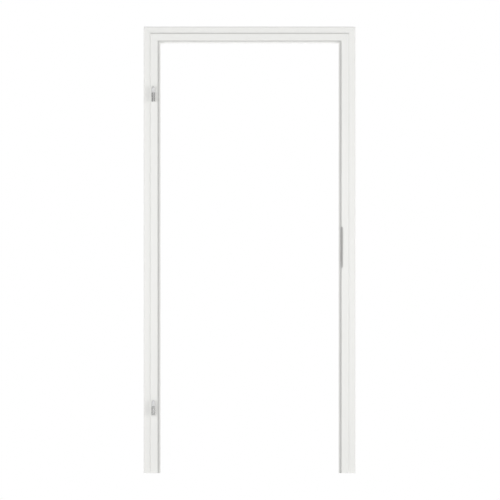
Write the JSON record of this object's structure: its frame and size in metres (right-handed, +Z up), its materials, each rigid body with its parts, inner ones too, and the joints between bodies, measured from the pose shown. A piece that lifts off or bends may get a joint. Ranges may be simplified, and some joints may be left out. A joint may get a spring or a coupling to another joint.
{
  "type": "door frame",
  "caption": "Wrap-round interior door frame for a wall opening, with rebated jambs and head, rubber seal, hinge halves, strike plate and an adjustable back casing.",
  "frame": {"origin": "on the floor, at the middle of the frame's overall box", "axes": "+Z up the jambs; +Y through the wall, from the rebated side with the hinges to the adjustable side; +X from the hinge jamb to the strike jamb"},
  "size_m": [0.968, 0.2074, 2.0425],
  "materials": {
    "white_coating": "white lacquered board",
    "feather_board": "white coated fibreboard",
    "beech": "fluted beech dowel",
    "seal": "light grey hollow seal",
    "hinge_steel": "satin nickel plated",
    "bush_plastic": "light grey acetal",
    "cast_zinc": "die-cast metal",
    "strike_steel": "satin nickel plated",
    "zinc_steel": "zinc plated"
  },
  "bodies": {
    "frame": {"lining_left": "white_coating", "lining_right": "white_coating", "lining_head": "white_coating", "front_casing_left": "white_coating", "front_casing_right": "white_coating", "front_casing_head": "white_coating", "lining_dowels_left": "beech", "lining_dowels_right": "beech", "seal_left": "seal", "seal_right": "seal", "seal_head": "seal", "hinge_knuckle_upper": "hinge_steel", "hinge_knuckle_lower": "hinge_steel", "hinge_pin_upper": "hinge_steel", "hinge_pin_lower": "hinge_steel", "hinge_receiver_upper": "cast_zinc", "hinge_receiver_lower": "cast_zinc", "strike_plate": "strike_steel", "strike_screws": "zinc_steel", "clamp_screws_upper": "zinc_steel", "clamp_screws_lower": "zinc_steel", "receiver_screws_upper": "zinc_steel", "receiver_screws_lower": "zinc_steel", "draw_bolt_left": "zinc_steel", "draw_bolt_right": "zinc_steel", "draw_barrels_left": "zinc_steel", "draw_barrels_right": "zinc_steel"},
    "back_trim": {"back_casing_left": "white_coating", "back_casing_right": "white_coating", "back_casing_head": "white_coating", "feather_left": "feather_board", "feather_right": "feather_board", "feather_head": "feather_board", "back_plate_left": "zinc_steel", "back_plate_right": "zinc_steel", "back_screws_left": "zinc_steel", "back_screws_right": "zinc_steel"},
    "upper_bush": {"hinge_bush_upper": "bush_plastic"},
    "lower_bush": {"hinge_bush_lower": "bush_plastic"}
  },
  "joints": [
    {"name": "back_trim_slide", "type": "slide", "parent": "frame", "child": "back_trim", "axis": [0, 1, 0], "range_m": [-0.005, 0.015]},
    {"name": "upper_bush_turn", "type": "hinge", "parent": "frame", "child": "upper_bush", "pos_m": [-0.4402, -0.09525, 1.7415], "axis": [0, 0, 1], "continuous": true},
    {"name": "lower_bush_turn", "type": "hinge", "parent": "frame", "child": "lower_bush", "pos_m": [-0.4402, -0.09525, 0.3065], "axis": [0, 0, 1], "continuous": true}
  ]
}
